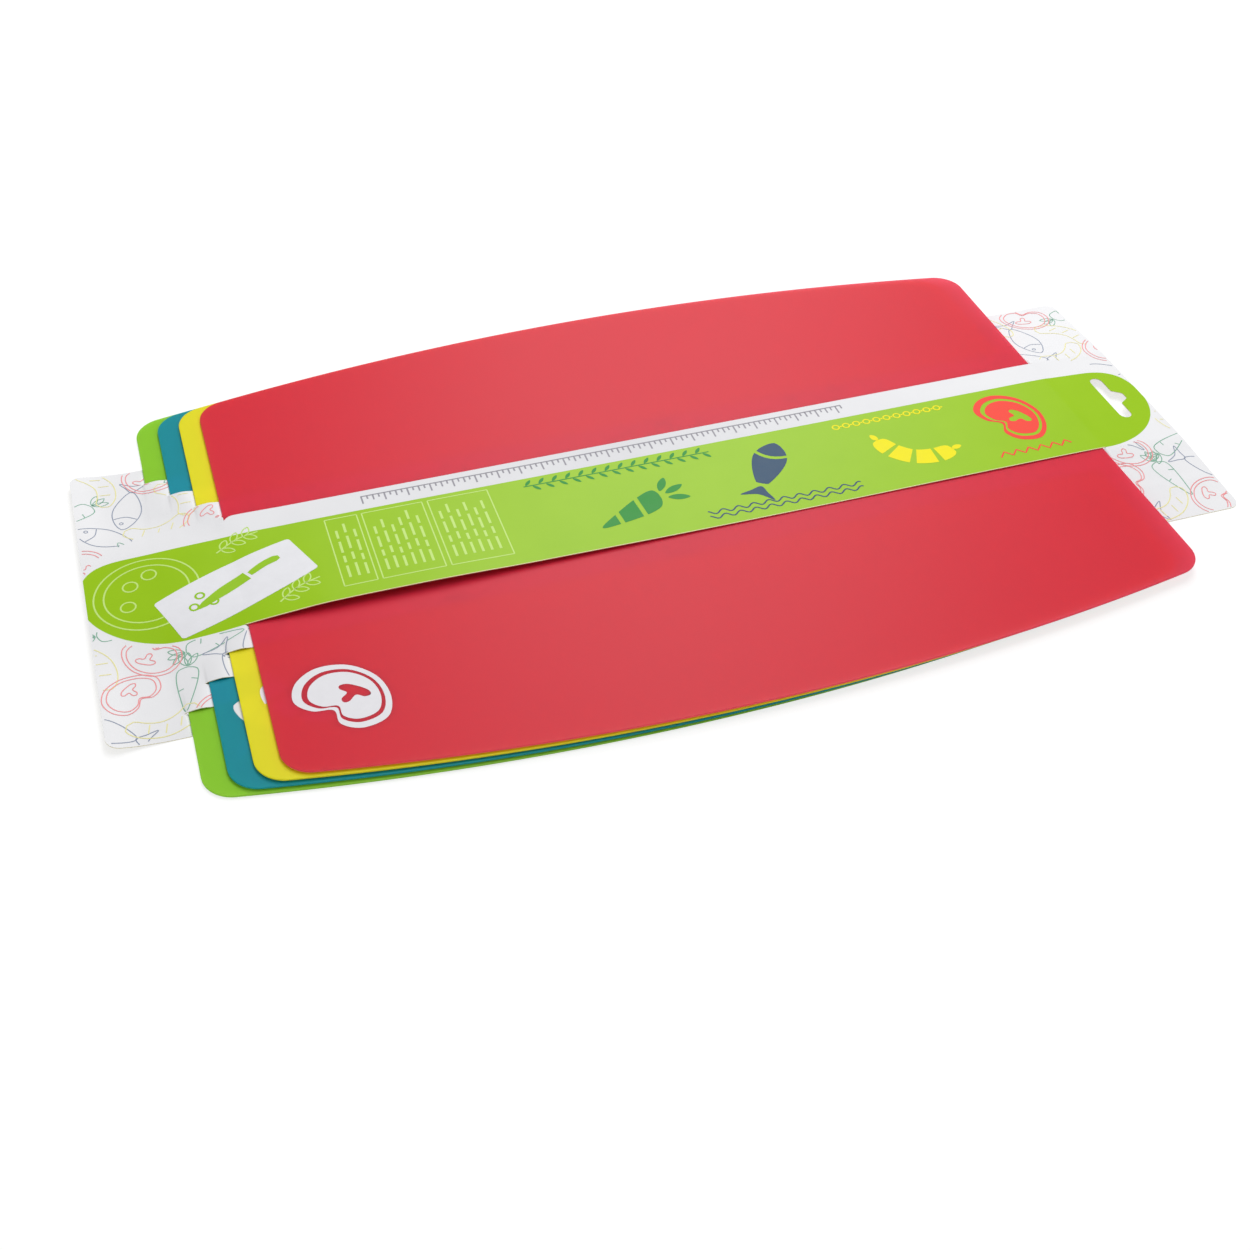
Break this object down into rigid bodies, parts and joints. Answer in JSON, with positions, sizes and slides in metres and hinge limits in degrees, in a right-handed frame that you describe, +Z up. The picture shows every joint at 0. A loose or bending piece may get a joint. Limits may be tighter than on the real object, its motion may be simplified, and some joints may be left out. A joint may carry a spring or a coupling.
{
  "type": "flexible cutting mat set",
  "caption": "Thin colour-coded plastic cutting mats with bowed long sides, fanned out and threaded through the slits of a flat printed hang card with a euro slot.",
  "frame": {"origin": "middle of the hang card, on the surface that it lies on", "axes": "+X along the card towards its hang slot, +Y away from the reader across the mats' width, +Z up, out of the printed face"},
  "size_m": [0.4798, 0.271, 0.0083],
  "materials": {
    "printed_card": "smooth coated card, off-white with a bright green printed band",
    "green_plastic": "fine satin polypropylene sheet",
    "teal_plastic": "fine satin polypropylene sheet",
    "yellow_plastic": "fine satin polypropylene sheet",
    "red_plastic": "fine satin polypropylene sheet"
  },
  "bodies": {
    "card": {"hang_card": "printed_card"},
    "green": {"green_mat": "green_plastic"},
    "teal": {"teal_mat": "teal_plastic"},
    "yellow": {"yellow_mat": "yellow_plastic"},
    "red": {"red_mat": "red_plastic"}
  },
  "joints": [
    {"name": "green_mat_slide", "type": "slide", "parent": "card", "child": "green", "axis": [0, 1, 0], "range_m": [-0.17, 0.17]},
    {"name": "teal_mat_slide", "type": "slide", "parent": "card", "child": "teal", "axis": [0, 1, 0], "range_m": [-0.17, 0.17]},
    {"name": "yellow_mat_slide", "type": "slide", "parent": "card", "child": "yellow", "axis": [0, 1, 0], "range_m": [-0.17, 0.17]},
    {"name": "red_mat_slide", "type": "slide", "parent": "card", "child": "red", "axis": [0, 1, 0], "range_m": [-0.17, 0.17]}
  ]
}
